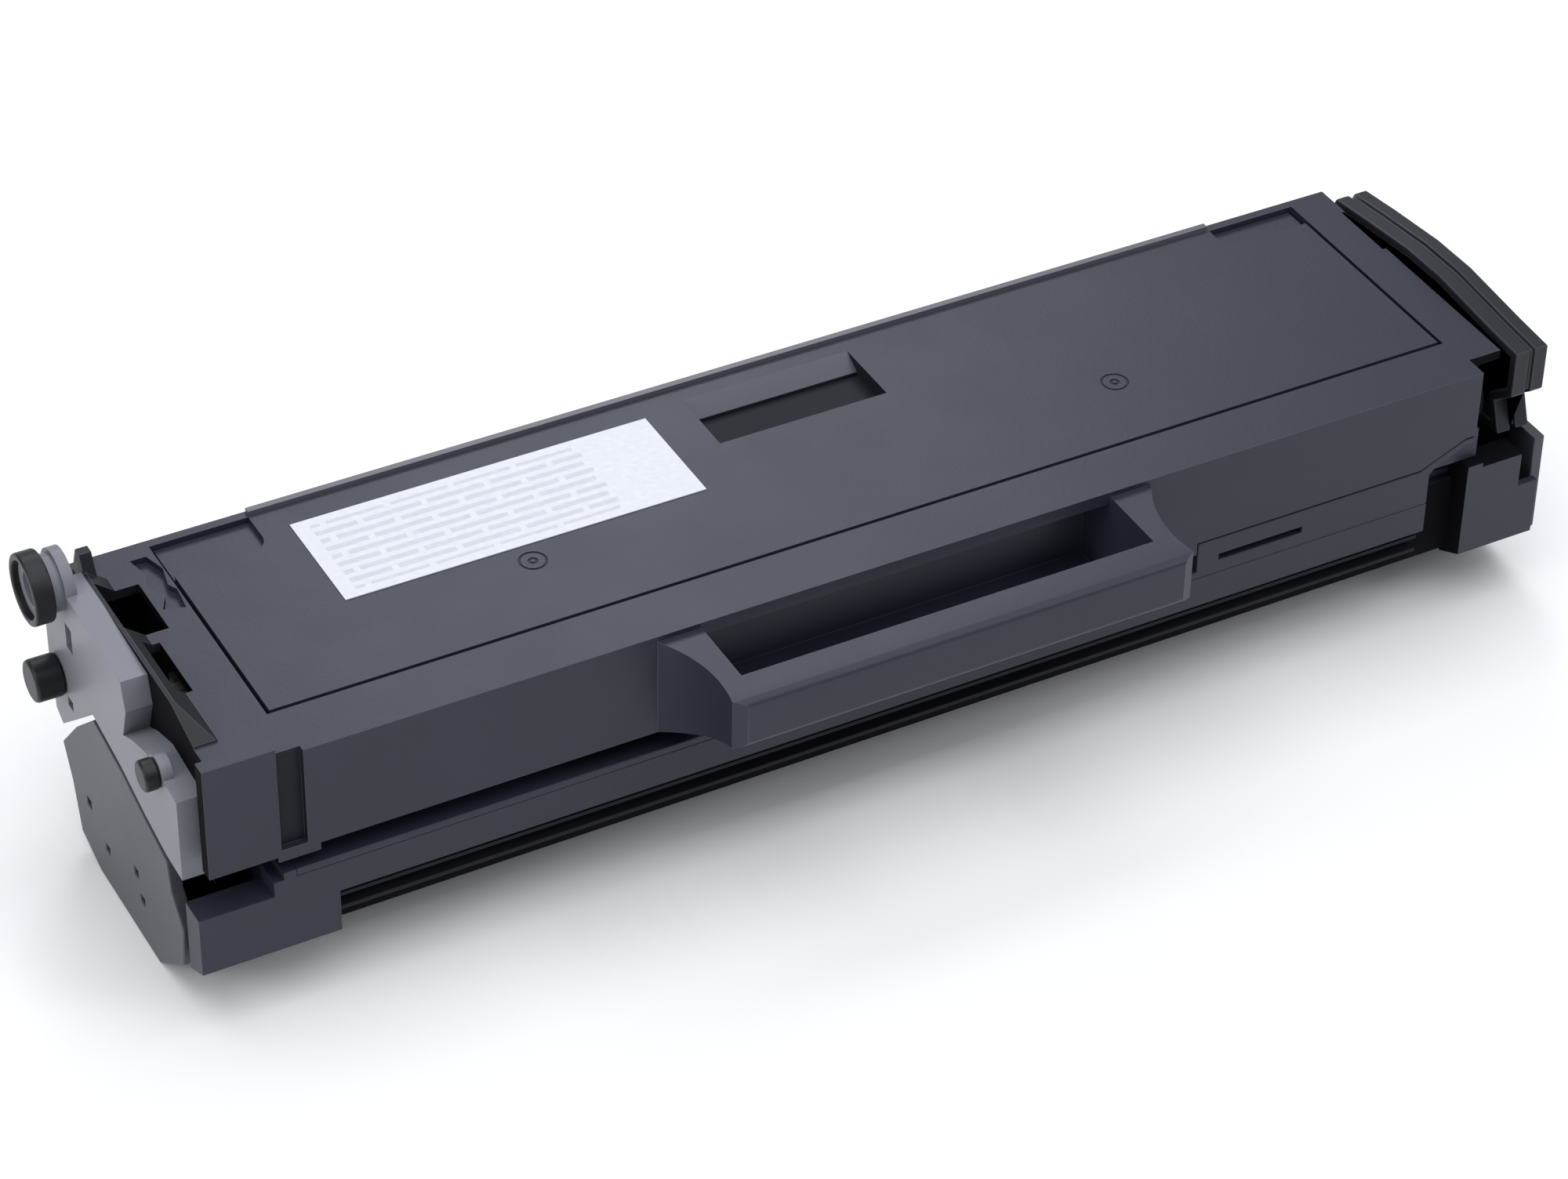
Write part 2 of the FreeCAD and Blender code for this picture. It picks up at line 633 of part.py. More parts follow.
def right_side_plate():
    plate = mirrored(prism(-plate_proud, side_plate_thickness - plate_proud, right_outline))
    seat = rod(body_length, body_length + axle_seat, drum_y, drum_z, axle_radius)
    return plate.cut(seat)


def section(outline, inset):
    """Face in the YZ plane, drawn in from an outline of (y, z) points."""
    face = Part.Face(Part.makePolygon([V(0, y, z) for y, z in outline + outline[:1]]))
    return Part.Face(face.makeOffset2D(-inset).Wires[0])


def pan(x0, x1, outline, thickness):
    """Shallow pan with its flat side at x0 and its rim reaching to x1."""
    solid = prism(x0, x1, outline)
    hollow = section(outline, thickness)
    hollow.translate(V(x0 + plate_thickness, 0, 0))
    return solid.cut(hollow.extrude(V(x1 - x0, 0, 0)))


def gear_side_plate():
    """Pan over the gears, with a round lobe and a hollow stub that carries the guide boss."""
    back = body_depth
    top = deck_height + 3.2
    outline = [(5.6, 26.4), (5.6, deck_height - 7.8), (19.4, deck_height - 6.5), (26.6, 43.4),
               (30.6, 41.4), (28.2, 48.4), (29.7, top - 1.2), (50, top), (back - 7.4, top),
               (back - 2.4, deck_height - 2), (back, deck_height - 9), (back, 31.5),
               (back - 1.4, 21.4), (back - 4.4, 19.6), (drum_y + 11.6, 25.0), (drum_y + 0.6, 34.5),
               (33.7, 32.2), (22.5, 28.9), (13.1, 26.8)]
    plate = pan(-plate_proud, plate_thickness, outline, thin_wall)
    lobe = rod(-plate_proud, plate_thickness - plate_proud, boss_y, boss_z, boss_radius - 0.6)
    stub = rod(-boss_reach + 1.4, -plate_proud, boss_y, boss_z, boss_radius - 1.4)
    pin_lobe = rod(-plate_proud, plate_thickness - plate_proud, locating_y, locating_z,
                   locating_radius + 0.4)
    openings = [rod(-boss_reach, -plate_proud - 1, boss_y, boss_z, boss_radius - 3.6),
                box(-plate_proud - 1, 0, back - 13.9, back - 10.9, deck_height - 9.6,
                    deck_height - 4),
                box(-plate_proud - 1, 0, back - 11.2, back - 8.6, 27.2, 29.4)]
    return fused(plate, lobe, stub, pin_lobe).cut(openings)


def right_end_plate():
    """Cap over the right end, with a groove round its rim."""
    back = body_depth
    outline = [(4.4, 31.6), (6.8, 38.4), (1.6, 42.4), (1.6, 52.6), (10.8, 53.2), (28.6, 54.8),
               (40.0, 54.6), (back - 13.6, 53.0), (back - 3.0, 51.6), (back - 0.6, 47), (back, 34),
               (back - 1.4, 21.4), (back - 4.4, 19.6), (drum_y + 11.6, 25.0), (drum_y + 0.6, 34.5),
               (33.7, 32.2), (22.5, 30.8)]
    cap = prism(cap_start, body_length, outline)
    room = along(section(outline, cap_wall), cap_start - 1, plate_right)
    middle = cap_start + 3.2
    ring = prism(middle, middle + 1.2, outline).cut(along(section(outline, 0.7), middle, middle + 2))
    return cap.cut([room, ring])


def guide_pin():
    return rod(-pin_reach, -plate_proud, pin_y, pin_z, pin_radius)


def guide_boss():
    """Hard ring pressed on the stub of the pan."""
    return tube(-boss_reach, -boss_reach + boss_width, boss_y, boss_z, boss_radius,
                boss_radius - 1.4)


def locating_pin():
    return rod(-locating_reach, -plate_proud, locating_y, locating_z, locating_radius)


# Drum and charge roller.


def drum_axle():
    return rod(-axle_seat, body_length + axle_seat, drum_y, drum_z, axle_radius)


def drum_tube():
    return tube(drum_start, drum_end, drum_y, drum_z, drum_radius, drum_radius - drum_wall)


def drum_gear_flange():
    """Driven flange: gear, hub through the end wall and spigot in the tube."""
    teeth = gear(gear_start, gear_end, drum_y, drum_z, drum_teeth, drum_tooth)
    hub = turned(gear_end, drum_start - 1.5, drum_y, drum_z, 7.4)
    collar = turned(drum_start - 1.5, drum_start, drum_y, drum_z, drum_radius)
    spigot = turned(drum_start, drum_start + 8, drum_y, drum_z, drum_radius - drum_wall)
    body = fused(teeth, hub, collar, spigot)
    return body.cut(rod(0, drum_start + 10, drum_y, drum_z, axle_radius + running_gap))


def drum_plain_flange():
    collar = turned(drum_end, drum_end + 1.5, drum_y, drum_z, drum_radius)
    spigot = turned(drum_end - 8, drum_end, drum_y, drum_z, drum_radius - drum_wall)
    hub = turned(drum_end + 1.5, right_wall + 2, drum_y, drum_z, 7.4)
    return fused(collar, spigot, hub).cut(
        rod(drum_end - 10, body_length, drum_y, drum_z, axle_radius + running_gap))


def charge_parts():
    shaft = rod(left_wall - 2, right_wall + 2, charge_y, charge_z, thin_shaft_radius)
    rubber = tube(print_start - 2, print_end + 2, charge_y, charge_z, charge_radius, thin_shaft_radius)
    return shaft, rubber


def charge_bearing(x0):
    """Sliding block that carries one end of the charge roller."""
    block = box(x0, x0 + wall + 0.5, charge_y - charge_block, charge_y + charge_block,
                charge_z - charge_block, charge_z + charge_block)
    return block.cut(rod(x0 - 1, x0 + 4, charge_y, charge_z, thin_shaft_radius + running_gap))


def charge_spring(x):
    """Coil spring that presses the charge roller's bearing towards the drum, in short straight runs."""
    start = charge_y - charge_slot + spring_wire + 0.05
    rise = (charge_slot - charge_block - 2 * spring_wire - 0.1) / (spring_turns * spring_steps)
    turn = 2 * math.pi / spring_steps
    points = [V(x + spring_radius * math.cos(turn * i), start + rise * i,
                charge_z - spring_radius * math.sin(turn * i))
              for i in range(spring_turns * spring_steps + 1)]
    run = (points[1] - points[0]).normalize()
    out = (V(1, 0, 0) - run * run.x).normalize()
    up = run.cross(out)
    ring = [points[0] + out * (spring_wire * math.cos(a)) + up * (spring_wire * math.sin(a))
            for a in (math.radians(60 * k) for k in range(7))]
    return Part.makePolygon(points).makePipeShell([Part.makePolygon(ring)], True, False, 1)


def charge_contact():
    """Sheet contact on the right end wall, over the seat of the charge roller's spring."""
    return box(right_wall, right_wall + 0.4, charge_y - charge_slot - 6, charge_y - charge_slot,
               charge_z - 2, charge_z + 6)


def cleaning_holder():
    """Folded steel angle fixed under the partition, with the blade bonded to its leg."""
    return bent_strip(inner_left + 3, inner_right - 3,
                      [(drum_y - 21.5, 9.4), (drum_y - 16.3, 9.4), (drum_y - 16.3, 4.4)], 1.2)


def cleaning_blade():
    return box(inner_left + 5, inner_right - 5, drum_y - 16.3, drum_y - 11.7, 4.9, 6.5)


def recovery_film():
    return bent_strip(inner_left + 3, inner_right - 3,
                      [(drum_y - 15.0, -3.0), (drum_y - 12.6, -3.0), (drum_y - 7.1, 0.1)],
                      -film_thickness)


def chip_board():
    return box(body_length - 49.2, body_length - 35.2, body_depth, body_depth + 0.8,
               deck_height - 14.2, deck_height - 6.2)


def nodes():
    supply_shaft, supply_foam = supply_parts()
    charge_shaft, charge_rubber = charge_parts()
    developer_shaft = rod(gear_start - 1.5, right_wall + 3, developer_y, developer_z, shaft_radius)
    developer_bushing = bushing(developer_y, developer_z, developer_bush)
    supply_bushing = bushing(supply_y, supply_z, supply_bush)
    spring_seat = left_wall + (wall + 0.5) / 2
    developer_sleeve = tube(print_start, print_end, developer_y, developer_z,
                            developer_radius, shaft_radius)
    return {
        "hopper_body": hopper_body(),
        "hopper_lid": hopper_lid(),
        "label": label(),
        "fill_plug": fill_plug(),
        "doctor_blade_holder": doctor_holder(),
        "doctor_blade": doctor_blade(),
        "doctor_blade_screws": doctor_screws(),
        "supply_shaft": supply_shaft,
        "supply_foam": supply_foam,
        "supply_gear": wheel(gear_start, gear_end, supply_y, supply_z, supply_teeth, supply_tooth,
                             shaft_radius),
        "developer_shaft": developer_shaft,
        "developer_sleeve": developer_sleeve,
        "developer_gear": wheel(gear_start, gear_end, developer_y, developer_z, developer_teeth,
                                developer_tooth, shaft_radius),
        "developer_bushing_left": developer_bushing,
        "developer_bushing_right": mirrored(developer_bushing),
        "supply_bushing_left": supply_bushing,
        "supply_bushing_right": mirrored(supply_bushing),
        "developer_seal_left": developer_seal(),
        "developer_seal_right": mirrored(developer_seal()),
        "idler_gear": wheel(gear_start, gear_end, idler_y, idler_z, idler_teeth, idler_tooth,
                            thin_shaft_radius + running_gap),
        "agitator_gear": wheel(gear_start, gear_end, agitator_y, agitator_z, agitator_teeth,
                               agitator_tooth, thin_shaft_radius),
        "agitator_shaft": agitator_shaft(),
        "agitator_film": agitator_film(),
        "drum_frame": drum_frame(),
        "waste_cover": waste_cover(),
        "left_side_plate": left_side_plate(),
        "right_side_plate": right_side_plate(),
        "gear_side_plate": gear_side_plate(),
        "right_end_plate": right_end_plate(),
        "guide_pin": guide_pin(),
        "guide_boss": guide_boss(),
        "locating_pin": locating_pin(),
        "drum_axle": drum_axle(),
        "drum_tube": drum_tube(),
        "drum_gear_flange": drum_gear_flange(),
        "drum_plain_flange": drum_plain_flange(),
        "charge_shaft": charge_shaft,
        "charge_rubber": charge_rubber,
        "charge_bearing_left": charge_bearing(left_wall),
        "charge_bearing_right": charge_bearing(right_wall - wall - 0.5),
        "charge_spring_left": charge_spring(spring_seat),
        "charge_spring_right": charge_spring(body_length - spring_seat),
        "charge_contact": charge_contact(),
        "recovery_film": recovery_film(),
        "chip_board": chip_board(),
        "cleaning_blade_holder": cleaning_holder(),
        "cleaning_blade": cleaning_blade(),
    }


def main():
    os.makedirs("parts", exist_ok=True)
    right_reach = body_length + plate_proud
    chip_back = body_depth + 0.8
    origin = V((right_reach - boss_reach) / 2, (chip_back - handle_reach) / 2, rest_height)
    for name, shape in nodes().items():
        solid = Part.makeCompound(shape.Solids) if len(shape.Solids) > 1 else shape.Solids[0]
        solid.translate(origin.negative())
        print(name, len(solid.Solids), round(solid.Volume), solid.isValid())
        solid.exportStep("parts/%s.step" % name)


main()
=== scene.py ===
"""Looks of the toner cartridge, around its CAD frame. Metres, +Z up, X along the cartridge."""
import json
import math
import bmesh
import bpy
from mathutils import Matrix, Vector


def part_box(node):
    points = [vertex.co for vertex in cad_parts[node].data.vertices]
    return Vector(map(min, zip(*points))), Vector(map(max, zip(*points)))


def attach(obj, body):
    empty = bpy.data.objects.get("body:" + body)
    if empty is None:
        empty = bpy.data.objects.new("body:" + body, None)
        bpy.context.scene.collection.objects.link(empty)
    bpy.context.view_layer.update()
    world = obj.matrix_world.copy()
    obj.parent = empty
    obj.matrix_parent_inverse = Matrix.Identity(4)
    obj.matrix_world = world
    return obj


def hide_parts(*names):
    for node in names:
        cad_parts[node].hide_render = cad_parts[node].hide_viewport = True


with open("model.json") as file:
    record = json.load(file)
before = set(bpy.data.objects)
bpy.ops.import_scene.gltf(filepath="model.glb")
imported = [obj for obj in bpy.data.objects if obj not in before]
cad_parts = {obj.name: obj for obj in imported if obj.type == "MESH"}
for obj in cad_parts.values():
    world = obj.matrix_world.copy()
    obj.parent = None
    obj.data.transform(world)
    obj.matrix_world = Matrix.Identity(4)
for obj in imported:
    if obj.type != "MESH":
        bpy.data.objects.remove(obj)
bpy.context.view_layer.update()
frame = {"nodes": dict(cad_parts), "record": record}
nodes = frame["nodes"]
slot_of = {part["node"]: part["material_slot"] for part in frame["record"]["subparts"]}
body_of = {node: body for body, members in frame["record"]["behaviour"]["bodies"].items()
           for node in members}
HOUSING = "housing"
MM = 0.001

# Sizes and places of the part's own drawing, in millimetres.

DRAWING_ORIGIN = Vector((139.6, 23.2, -6.0))
BODY_LENGTH = 285.2
LEFT_WALL, RIGHT_WALL = 14.0, 271.2
CAVITY_START, CAVITY_END = 258.6, 268.0
DECK = 52.2
WELL_LEFT, WELL_RIGHT = 126.0, 162.0
WELL_FRONT, WELL_BACK = 47.0, 63.4
WELL_FLOOR = 48.9


def at(x, y, z):
    """A place of the drawing, in millimetres, as a point of the frame."""
    return (Vector((x, y, z)) - DRAWING_ORIGIN) * MM


# Camera at the photo's angle, in front of the left end and above it.

CAMERA_PLACE = (-0.35736, -0.62408, 0.59494)
CAMERA_YAW = math.radians(-28.926)
CAMERA_TILT = math.radians(90 - 37.933)
CAMERA_ROLL = math.radians(1.083)
CAMERA_LENS = 109.9
CAMERA_SENSOR = 36
NEAREST, FURTHEST = 0.01, 20


def make_camera():
    """Camera that frames the part as the photo does."""
    data = bpy.data.cameras.new("photo_camera")
    data.sensor_width = CAMERA_SENSOR
    data.lens = CAMERA_LENS
    data.clip_start = NEAREST
    data.clip_end = FURTHEST
    camera = bpy.data.objects.new("photo_camera", data)
    turn = (Matrix.Rotation(CAMERA_YAW, 4, "Z") @ Matrix.Rotation(CAMERA_TILT, 4, "X")
            @ Matrix.Rotation(CAMERA_ROLL, 4, "Z"))
    camera.matrix_world = Matrix.Translation(CAMERA_PLACE) @ turn
    bpy.context.scene.collection.objects.link(camera)
    bpy.context.scene.camera = camera


# Floor and studio light. Powers are in watts.

SKY_COLOUR = (0.96, 0.98, 1.0)
SKY_STRENGTH = 0.30
FLOOR_COLOUR = (0.93, 0.93, 0.93)
FLOOR_ROUGHNESS = 0.9
FLOOR_REACH = 3


def softbox(name, place, target, side, power, tint=(1, 1, 1)):
    """Square lamp that faces its target."""
    data = bpy.data.lights.new(name, "AREA")
    data.shape = "RECTANGLE"
    data.size = data.size_y = side
    data.energy = power
    data.color = tint
    lamp = bpy.data.objects.new(name, data)
    aim = (Vector(target) - Vector(place)).to_track_quat("-Z", "Y")
    lamp.matrix_world = Matrix.Translation(place) @ aim.to_matrix().to_4x4()
    bpy.context.scene.collection.objects.link(lamp)


def make_floor():
    """Wide sheet of pale paper under the part."""
    bm = bmesh.new()
    bmesh.ops.create_grid(bm, x_segments=1, y_segments=1, size=FLOOR_REACH)
    mesh = bpy.data.meshes.new("floor")
    bm.to_mesh(mesh)
    bm.free()
    mesh.materials.append(Finish("floor_paper", FLOOR_COLOUR, FLOOR_ROUGHNESS).material)
    floor = bpy.data.objects.new("floor", mesh)
    bpy.context.scene.collection.objects.link(floor)


def make_studio():
    """Pale sky, three softboxes round the part and a large one above it."""
    world = bpy.data.worlds.new("studio")
    bpy.context.scene.world = world
    world.use_nodes = True
    sky = world.node_tree.nodes["Background"]
    sky.inputs["Color"].default_value = (*SKY_COLOUR, 1)
    sky.inputs["Strength"].default_value = SKY_STRENGTH
    softbox("key_back", place=(0.44, 1.05, 0.92), target=(-0.08, 0, 0.05), side=0.5, power=4.5,
            tint=(0.88, 0.91, 1.0))
    softbox("front_right", place=(0.75, -1.00, 0.90), target=(0.10, 0, 0.03), side=0.5, power=3.5)
    softbox("side_left", place=(-1.20, -0.10, 0.55), target=(-0.15, 0, 0.03), side=0.7, power=5.0)
    softbox("overhead", place=(0.0, -0.2, 1.6), target=(0, 0, 0), side=2.0, power=26.0,
            tint=(0.94, 0.96, 1.0))
    make_floor()


# Materials. Each reads Object coordinates, in metres.


class Finish:
    """A material with its shader, and short ways to add the nodes that feed it.

    A noise has its scale in waves a metre, and a bump its distance in metres.
    """

    def __init__(self, name, colour, roughness, metallic=0.0):
        self.material = bpy.data.materials.new(name)
        self.material.use_nodes = True
        self.tree = self.material.node_tree
        self.shader = self.tree.nodes["Principled BSDF"]
        self.colour = colour
        self.set(Base_Color=(*colour, 1), Roughness=roughness, Metallic=metallic)
        self.place = self.tree.nodes.new("ShaderNodeTexCoord").outputs["Object"]

    def set(self, **values):
        """Set sockets of the shader to values that are the same all over the surface."""
        for name, value in values.items():
            self.shader.inputs[name.replace("_", " ")].default_value = value
        return self

    def feed(self, socket, value):
        """Link a socket to another node's output, or set it to a plain value."""
        if hasattr(value, "is_output"):
            self.tree.links.new(value, socket)
        else:
            socket.default_value = value

    def node(self, kind, **inputs):
        """Add a node, with its inputs by name."""
        made = self.tree.nodes.new("ShaderNode" + kind)
        for name, value in inputs.items():
            self.feed(made.inputs[name.replace("_", " ")], value)
        return made

    def stretched(self, x, y, z):
        """Object coordinates scaled by another amount along each axis."""
        return self.node("Mapping", Vector=self.place, Scale=(x, y, z)).outputs["Vector"]

    def noise(self, scale, detail=3.0, vector=None):
        return self.node("TexNoise", Vector=vector or self.place, Scale=scale,
                         Detail=detail).outputs["Fac"]

    def remap(self, value, low, high, start=0.3, end=0.7):
        """Low to high, as the value goes from start to end."""
        return self.node("MapRange", Value=value, From_Min=start, From_Max=end, To_Min=low,
                         To_Max=high).outputs["Result"]

    def calculate(self, operation, first, second):
        made = self.node("Math")
        made.operation = operation
        for socket, value in zip(made.inputs, (first, second)):
            self.feed(socket, value)
        return made.outputs["Value"]

    def vary_colour(self, pattern, other, start=0.3, end=0.7, most=1.0):
        """Blend towards another colour as the pattern goes from start to end."""
        made = self.node("Mix")
        made.data_type = "RGBA"
        self.feed(made.inputs["Factor"], self.remap(pattern, 0, most, start, end))
        self.feed(made.inputs["A"], (*self.colour, 1))
        self.feed(made.inputs["B"], (*other, 1))
        self.feed(self.shader.inputs["Base Color"], made.outputs["Result"])

    def vary_roughness(self, pattern, low, high):
        self.feed(self.shader.inputs["Roughness"], self.remap(pattern, low, high))

    def bump(self, height, distance, strength):
        made = self.node("Bump", Height=height, Distance=distance, Strength=strength)
        self.feed(self.shader.inputs["Normal"], made.outputs["Normal"])


def scaled(colour, share):
    """A darker or lighter shade of a colour."""
    return tuple(channel * share for channel in colour)


def moulded(name, colour, other, roughness, gloss=0.32):
    """Injection moulded plastic: an eroded grain, and a slow drift of colour and gloss."""
    plastic = Finish(name, colour, roughness).set(Specular_IOR_Level=gloss)
    plastic.vary_colour(plastic.noise(35.0, 2.0), other)
    plastic.vary_roughness(plastic.noise(60.0), roughness - 0.015, roughness + 0.015)
    plastic.bump(plastic.noise(1400.0, 2.0), distance=0.00004, strength=0.5)
    return plastic.material


def smooth_plastic(name, colour, other, roughness):
    """Plastic from a polished mould, handled a little."""
    plastic = Finish(name, colour, roughness)
    plastic.vary_colour(plastic.noise(60.0, 2.0), other)
    plastic.vary_roughness(plastic.noise(150.0), roughness - 0.05, roughness + 0.07)
    plastic.bump(plastic.noise(500.0, 2.0), distance=0.00002, strength=0.3)
    return plastic.material


def rolled_steel(name, colour):
    """Zinc-plated sheet with fine marks along the strip."""
    steel = Finish(name, colour, 0.36, metallic=1.0)
    lines = steel.noise(1.0, 4.0, steel.stretched(30.0, 2500.0, 2500.0))
    steel.vary_colour(steel.noise(120.0), scaled(colour, 0.86))
    steel.vary_roughness(lines, 0.28, 0.46)
    steel.bump(lines, distance=0.00001, strength=0.4)
    return steel.material


def ground_steel(name, colour):
    """Shaft steel with grinding marks round the shaft."""
    steel = Finish(name, colour, 0.24, metallic=1.0)
    marks = steel.noise(1.0, vector=steel.stretched(4000.0, 60.0, 60.0))
    steel.vary_colour(steel.noise(80.0, 2.0), scaled(colour, 0.9))
    steel.vary_roughness(marks, 0.17, 0.32)
    steel.bump(marks, distance=0.00001, strength=0.3)
    return steel.material


def drum_coating(name):
    """Glossy organic coating on the aluminium tube, with faint coating bands."""
    coating = Finish(name, (0.015, 0.16, 0.15), 0.12).set(Coat_Weight=0.6, Coat_Roughness=0.05)
    bands = coating.noise(1.0, 2.0, coating.stretched(25.0, 4.0, 4.0))
    coating.vary_colour(bands, (0.02, 0.20, 0.17))
    coating.vary_roughness(coating.noise(200.0), 0.09, 0.16)
    return coating.material


def roller_rubber(name, colour):
    """Black roller skin with fine marks from its grinding."""
    rubber = Finish(name, colour, 0.62)
    marks = rubber.noise(1.0, vector=rubber.stretched(900.0, 500.0, 500.0))
    rubber.vary_colour(rubber.noise(70.0, 2.0), scaled(colour, 1.35))
    rubber.vary_roughness(marks, 0.52, 0.72)
    rubber.bump(marks, distance=0.00003, strength=0.6)
    return rubber.material


def open_foam(name):
    """Cellular foam of the supply roller."""
    foam = Finish(name, (0.045, 0.045, 0.048), 0.95)
    cells = foam.node("TexVoronoi", Vector=foam.place, Scale=1500.0).outputs["Distance"]
    foam.vary_colour(cells, (0.13, 0.13, 0.135), start=0.1)
    foam.bump(cells, distance=0.00025, strength=0.8)
    return foam.material


def pressed_felt(name):
    """Short fibres of the seals at the developer roller's ends."""
    felt = Finish(name, (0.50, 0.45, 0.33), 1.0).set(Sheen_Weight=0.4)
    fibres = felt.noise(1.0, 6.0, felt.stretched(2200.0, 1400.0, 1400.0))
    felt.vary_colour(fibres, (0.36, 0.32, 0.22))
    felt.bump(fibres, distance=0.0002, strength=0.8)
    return felt.material


def urethane(name):
    """Amber wiping blade that lets a little light in."""
    blade = Finish(name, (0.46, 0.25, 0.07), 0.34)
    blade.set(Subsurface_Weight=0.25, Subsurface_Scale=0.002)
    blade.vary_colour(blade.noise(50.0, 2.0), (0.40, 0.20, 0.05))
    blade.vary_roughness(blade.noise(300.0, 2.0), 0.28, 0.42)
    return blade.material


INK = (0.47, 0.49, 0.55)
LEFT_MARGIN, RIGHT_MARGIN = 3 * MM, 16 * MM
FRONT_MARGIN = BACK_MARGIN = 2 * MM


def label_stock(name):
    """Coated label paper with a slight fibre grain and rows of generic printed bars."""
    paper = Finish(name, (0.62, 0.63, 0.67), 0.42)
    rows = paper.node("TexBrick", Vector=paper.stretched(100.0, 100.0, 0.0), Scale=1.0,
                      Brick_Width=1.3, Row_Height=0.26, Mortar_Size=0.075, Mortar_Smooth=0.3)
    printed = paper.remap(rows.outputs["Fac"], 1, 0, 0, 1)
    low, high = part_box("label")
    place = paper.node("SeparateXYZ", Vector=paper.place)
    for axis, side, edge in (("X", "GREATER_THAN", low[0] + LEFT_MARGIN),
                             ("X", "LESS_THAN", high[0] - RIGHT_MARGIN),
                             ("Y", "GREATER_THAN", low[1] + FRONT_MARGIN),
                             ("Y", "LESS_THAN", high[1] - BACK_MARGIN)):
        within = paper.calculate(side, place.outputs[axis], edge)
        printed = paper.calculate("MULTIPLY", printed, within)
    paper.vary_colour(printed, INK, start=0, end=1, most=0.8)
    fibres = paper.noise(1.0, 5.0, paper.stretched(700.0, 1100.0, 700.0))
    paper.vary_roughness(fibres, 0.36, 0.5)
    paper.bump(fibres, distance=0.00002, strength=0.35)
    return paper.material


def circuit_board(name):
    """Green solder resist."""
    board = Finish(name, (0.015, 0.09, 0.035), 0.3)
    board.vary_colour(board.noise(600.0), (0.02, 0.13, 0.05))
    board.vary_roughness(board.noise(400.0, 2.0), 0.22, 0.4)
    return board.material


def gold_pads(name):
    """Gold plating, rubbed by the printer's contacts."""
    gold = Finish(name, (0.83, 0.60, 0.25), 0.26, metallic=1.0)
    gold.vary_roughness(gold.noise(900.0, 2.0), 0.2, 0.36)
    return gold.material


def batch(maker, **recipes):
    """One finish of a kind for each name, from the values that its maker takes."""
    return {name: maker(name, *values) for name, values in recipes.items()}


finishes = {
    **batch(moulded,
            black_shell=((0.020, 0.0215, 0.035), (0.0225, 0.024, 0.039), 0.42),
            # near black: painted shade for faces deep in rooms and recesses
            shell_inside=((0.004, 0.004, 0.006), (0.006, 0.006, 0.008), 0.8, 0.06),
            rim_black=((0.009, 0.0095, 0.013), (0.012, 0.0125, 0.016), 0.5),
            # pale: painted highlight along the rail behind the deck
            rail_edge=((0.090, 0.092, 0.108), (0.110, 0.112, 0.128), 0.36),
            # pale: painted highlight on the hopper's rounded edges
            rubbed_edge=((0.085, 0.087, 0.105), (0.055, 0.057, 0.070), 0.36),
            # dark: painted shade for the well's floor and walls, the front slot and the frame's
            # ribs
            well_shade=((0.012, 0.0125, 0.018), (0.015, 0.0155, 0.021), 0.6, 0.14),
            # pale: painted highlight on the sloped back of the finger well
            well_slope=((0.075, 0.077, 0.098), (0.085, 0.087, 0.110), 0.42),
            # dark: painted shade in the shallow grooves of the tool marks
            tool_mark=((0.010, 0.011, 0.016), (0.013, 0.014, 0.020), 0.5, 0.25),
            cap_moulding=((0.010, 0.0105, 0.014), (0.013, 0.0135, 0.018), 0.46),
            # lighter: painted highlight on the end cap's rounded edges
            cap_edge=((0.035, 0.036, 0.044), (0.022, 0.023, 0.030), 0.38),
            dark_plate=((0.050, 0.052, 0.066), (0.058, 0.060, 0.075), 0.42),
            grey_plate=((0.17, 0.175, 0.20), (0.19, 0.195, 0.22), 0.40),
            black_pin=((0.008, 0.008, 0.010), (0.012, 0.012, 0.014), 0.42)),
    **batch(smooth_plastic,
            gear_acetal=((0.02, 0.02, 0.022), (0.03, 0.03, 0.032), 0.4),
            white_gear=((0.76, 0.76, 0.72), (0.70, 0.70, 0.65), 0.32),
            natural_bush=((0.62, 0.60, 0.52), (0.56, 0.54, 0.46), 0.38),
            cap_plastic=((0.02, 0.02, 0.024), (0.026, 0.026, 0.03), 0.35),
            clear_film=((0.10, 0.11, 0.12), (0.12, 0.13, 0.14), 0.14)),
    **batch(rolled_steel, sheet_steel=((0.58, 0.58, 0.58),)),
    **batch(ground_steel, shaft_steel=((0.63, 0.63, 0.64),)),
    **batch(roller_rubber, sleeve_rubber=((0.016, 0.016, 0.018),)),
    **batch(drum_coating, drum_coating=()),
    **batch(open_foam, foam=()),
    **batch(pressed_felt, felt=()),
    **batch(urethane, blade_rubber=()),
    **batch(label_stock, label_paper=()),
    **batch(circuit_board, circuit_board=()),
    **batch(gold_pads, gold_pads=()),
}


def dress(piece, finish):
    """Give the whole piece one finish."""
    piece.data.materials.clear()
    piece.data.materials.append(finishes[finish])


def add_finish(piece, finish):
    """Add a finish for some faces of the piece, and return its index."""
    piece.data.materials.append(finishes[finish])
    return len(piece.data.materials) - 1


def face_middle(mesh, face):
    """Middle of the box round a face."""
    corners = [mesh.vertices[i].co for i in face.vertices]
    return [(min(c[k] for c in corners) + max(c[k] for c in corners)) / 2 for k in range(3)]


def tint_faces(piece, tints):
    """Give the faces whose middles lie in the drawing's boxes the finish of those boxes."""
    for finish, boxes in tints.items():
        index = add_finish(piece, finish)
        for face in piece.data.polygons:
            place = face_middle(piece.data, face)
            for low, high in boxes:
                if all(a < c < b for a, c, b in zip(at(*low), place, at(*high))):
                    face.material_index = index


# Ways to make and shape a piece.

MERGE_DISTANCE = 0.000002
FLAT_ANGLE = math.radians(0.4)
SHARP_ANGLE = math.radians(30)
RING_STEPS = 32


